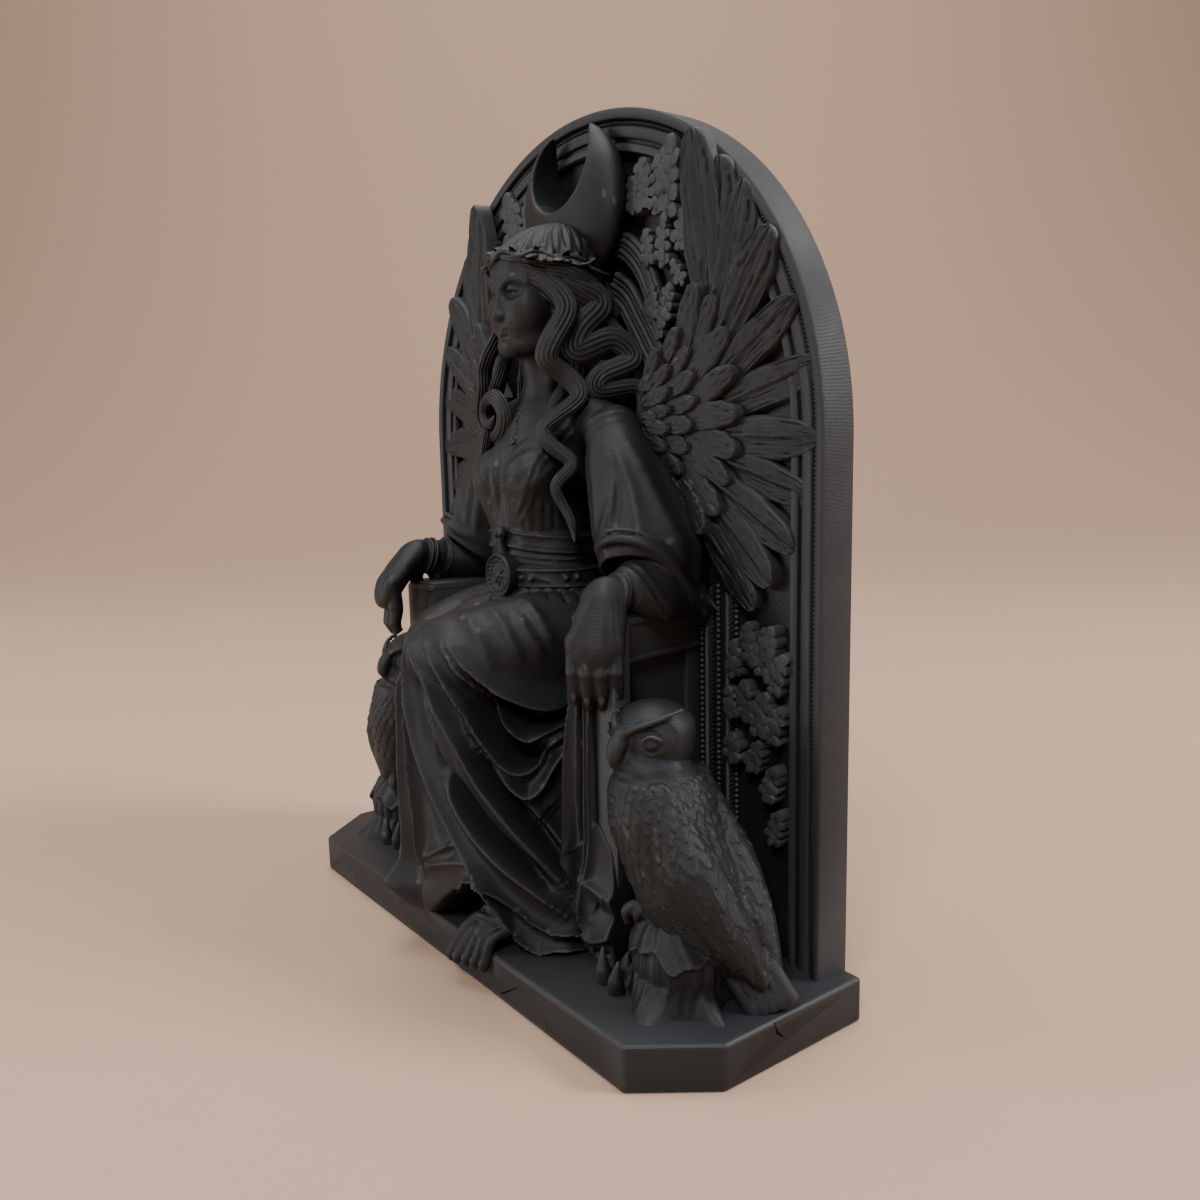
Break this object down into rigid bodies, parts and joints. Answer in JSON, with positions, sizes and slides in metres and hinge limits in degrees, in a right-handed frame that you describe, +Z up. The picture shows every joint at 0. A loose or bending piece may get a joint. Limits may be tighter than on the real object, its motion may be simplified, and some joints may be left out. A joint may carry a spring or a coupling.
{
  "type": "winged goddess statuette",
  "caption": "Seated robed goddess on a throne before an arched winged back, with a crescent headdress and an owl at each side, on a chamfered plinth, printed in black.",
  "frame": {"origin": "middle of the plinth's underside", "axes": "+Z up, -Y out of the front, where the figure faces, +Y out of the flat back, +X to the viewer's right, which is the figure's left"},
  "size_m": [0.122, 0.046, 0.15],
  "materials": {
    "black_plastic": "matte black printed plastic with fine level layer lines"
  },
  "bodies": {
    "root": {"winged_goddess_statuette": "black_plastic"}
  },
  "joints": []
}
